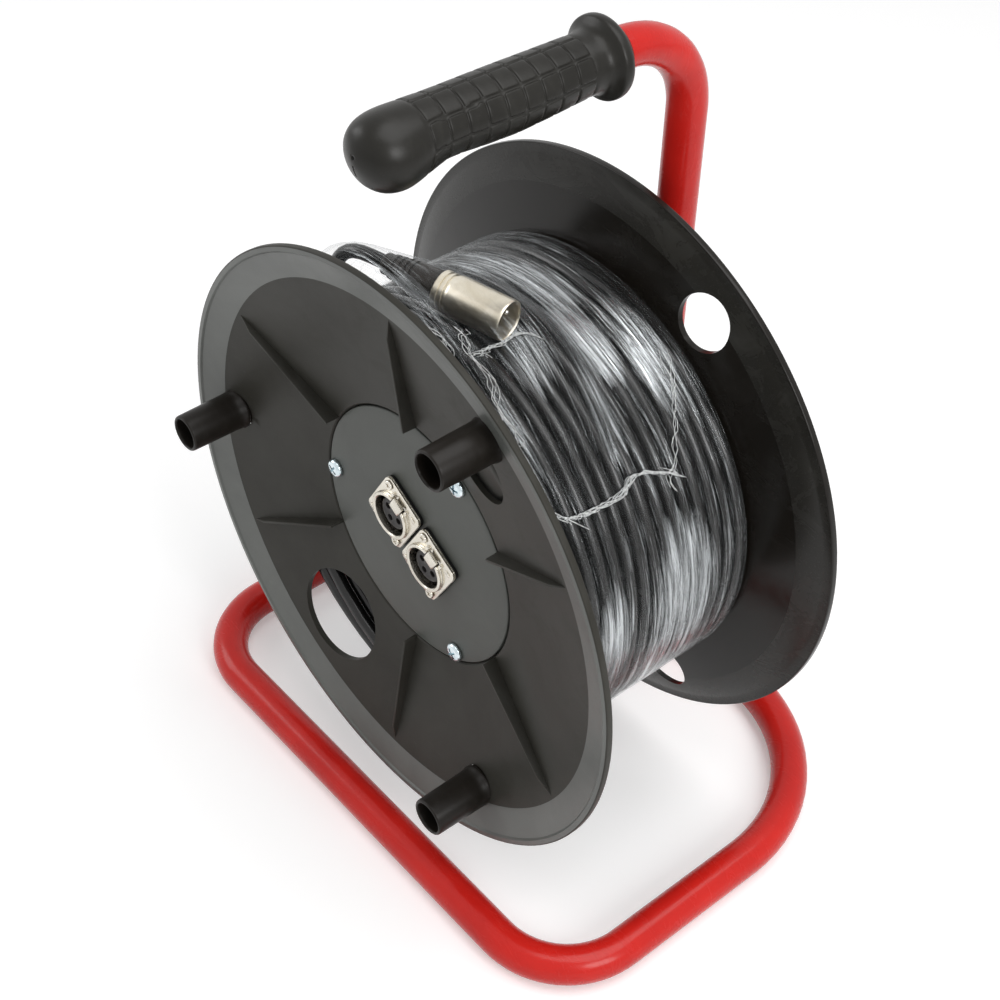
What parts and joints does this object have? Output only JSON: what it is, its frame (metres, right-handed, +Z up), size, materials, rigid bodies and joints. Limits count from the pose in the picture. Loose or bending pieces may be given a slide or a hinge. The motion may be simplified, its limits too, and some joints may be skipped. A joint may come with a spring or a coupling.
{
  "type": "xlr cable drum",
  "caption": "Twin microphone cable on a flanged drum that turns on a bent tube stand, with panel sockets in the hub and a plug on each free end.",
  "frame": {"origin": "on the floor, under the middle of the floor loop's box", "axes": "+Z up, drum axis along Y, socket side of the drum towards -Y, +X to the right seen from the socket side"},
  "size_m": [0.298, 0.215, 0.3863],
  "materials": {
    "red_paint": "gloss",
    "grip_rubber": "satin",
    "zinc": "bright zinc",
    "steel": "satin",
    "black_plastic": "satin, fine grain",
    "bearing_plastic": "satin",
    "insert_plastic": "satin",
    "gasket": "matt",
    "cable_jacket": "satin",
    "nickel": "satin nickel",
    "contact": "silvered"
  },
  "bodies": {
    "frame": {"floor_loop": "red_paint", "handle_tube": "red_paint", "weld_bead_left": "red_paint", "weld_bead_right": "red_paint", "grip": "grip_rubber", "axle_bolt": "zinc", "axle_saddle": "steel", "axle_standoff": "steel", "axle_sleeve": "steel", "axle_washer": "zinc", "axle_locknut": "zinc"},
    "drum": {"plug_boot_1": "grip_rubber", "plug_boot_2": "grip_rubber", "front_flange": "black_plastic", "rear_flange": "black_plastic", "hub_plate": "black_plastic", "drum_barrel": "black_plastic", "drum_web": "black_plastic", "post_1": "black_plastic", "post_2": "black_plastic", "post_3": "black_plastic", "bearing_bush_front": "bearing_plastic", "bearing_bush_rear": "bearing_plastic", "socket_insert_1": "insert_plastic", "socket_insert_2": "insert_plastic", "plug_insert_1": "insert_plastic", "plug_insert_2": "insert_plastic", "socket_gasket_1": "gasket", "socket_gasket_2": "gasket", "cable_core": "cable_jacket", "cable_winding_1": "cable_jacket", "cable_winding_2": "cable_jacket", "hub_screw_1": "zinc", "hub_screw_2": "zinc", "hub_screw_3": "zinc", "rear_screw_1": "zinc", "rear_screw_2": "zinc", "rear_screw_3": "zinc", "socket_shell_1": "nickel", "socket_shell_2": "nickel", "plug_shell_1": "nickel", "plug_shell_2": "nickel", "socket_fixing_1a": "nickel", "socket_fixing_1b": "nickel", "socket_fixing_2a": "nickel", "socket_fixing_2b": "nickel", "socket_contact_1a": "contact", "socket_contact_1b": "contact", "socket_contact_1c": "contact", "socket_contact_2a": "contact", "socket_contact_2b": "contact", "socket_contact_2c": "contact", "plug_pin_1a": "contact", "plug_pin_1b": "contact", "plug_pin_1c": "contact", "plug_pin_2a": "contact", "plug_pin_2b": "contact", "plug_pin_2c": "contact"},
    "tab_1": {"release_tab_1": "nickel"},
    "tab_2": {"release_tab_2": "nickel"}
  },
  "joints": [
    {"name": "drum_spin", "type": "hinge", "parent": "frame", "child": "drum", "pos_m": [0, -0.01835, 0.1645], "axis": [0, -1, 0], "continuous": true},
    {"name": "tab_press_1", "type": "slide", "parent": "drum", "child": "tab_1", "axis": [0, 1, 0], "range_m": [0, 0.0015], "stiffness_N_per_m": 1500},
    {"name": "tab_press_2", "type": "slide", "parent": "drum", "child": "tab_2", "axis": [0, 1, 0], "range_m": [0, 0.0015], "stiffness_N_per_m": 1500}
  ]
}
